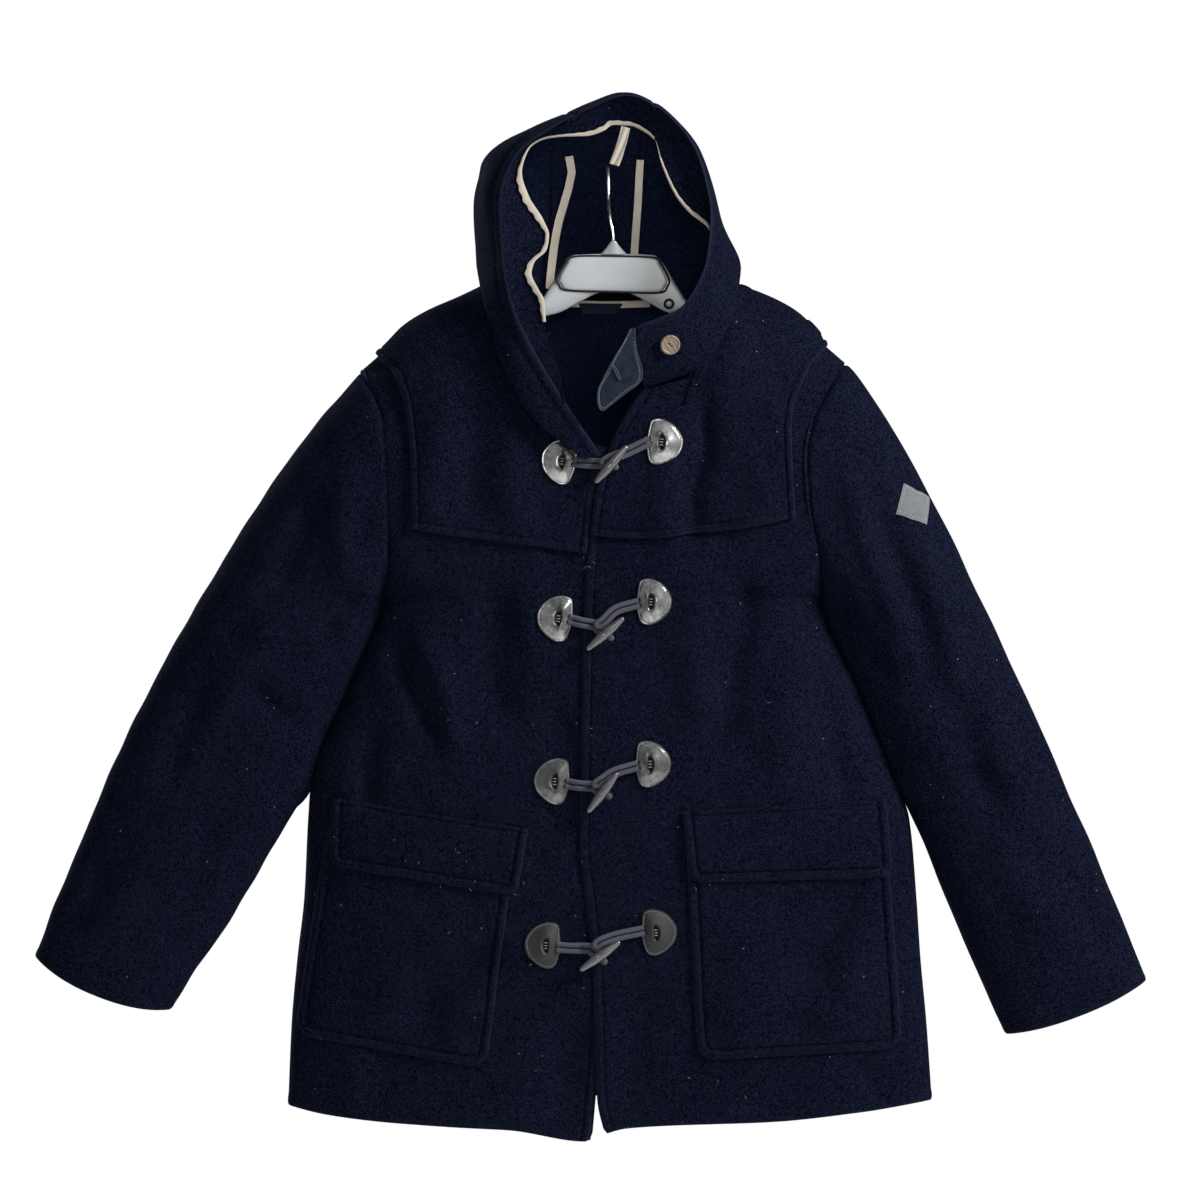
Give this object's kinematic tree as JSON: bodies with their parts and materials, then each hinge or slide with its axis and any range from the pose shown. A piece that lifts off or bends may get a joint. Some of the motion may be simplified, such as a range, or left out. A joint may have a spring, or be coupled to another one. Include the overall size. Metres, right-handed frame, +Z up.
{
  "type": "duffle coat on a hanger",
  "caption": "Navy wool duffle coat with a hood, horn toggles on cords and patch pockets, hanging on a plastic hanger with a wire hook.",
  "frame": {"origin": "top of the hanger's wire hook, where it rests on a rod or peg", "axes": "+X towards the wearer's left, +Y towards the coat's back so the front faces -Y, +Z up"},
  "size_m": [1.111, 0.1525, 1.0422],
  "materials": {
    "wool": "napped melton",
    "tape": "twill",
    "chambray": "plain weave",
    "leather": "polished",
    "cord": "braided",
    "horn": "satin, streaked",
    "button_wood": "satin",
    "hanger_plastic": "satin",
    "wire": "plated",
    "label": "woven, blank",
    "badge": "woven, blank"
  },
  "bodies": {
    "root": {"back": "wool", "facing_binding": "tape", "flap_left": "wool", "flap_right": "wool", "front_left": "wool", "front_right": "wool", "hanger_body": "hanger_plastic", "hanger_collar": "hanger_plastic", "hanger_hook": "wire", "hood_centre": "wool", "hood_left": "wool", "hood_right": "wool", "hood_tape_left": "tape", "hood_tape_right": "tape", "loop_cord_1": "cord", "loop_cord_2": "cord", "loop_cord_3": "cord", "loop_cord_4": "cord", "loop_patch_1": "leather", "loop_patch_2": "leather", "loop_patch_3": "leather", "loop_patch_4": "leather", "neck_label": "label", "neck_tape": "tape", "pocket_left": "wool", "pocket_right": "wool", "sleeve_badge": "badge", "sleeve_left": "wool", "sleeve_right": "wool", "throat_button": "button_wood", "throat_tab": "chambray", "toggle_1": "horn", "toggle_2": "horn", "toggle_3": "horn", "toggle_4": "horn", "toggle_cord_1": "cord", "toggle_cord_2": "cord", "toggle_cord_3": "cord", "toggle_cord_4": "cord", "toggle_patch_1": "leather", "toggle_patch_2": "leather", "toggle_patch_3": "leather", "toggle_patch_4": "leather", "yoke_back": "wool", "yoke_front_left": "wool", "yoke_front_right": "wool"}
  },
  "joints": []
}
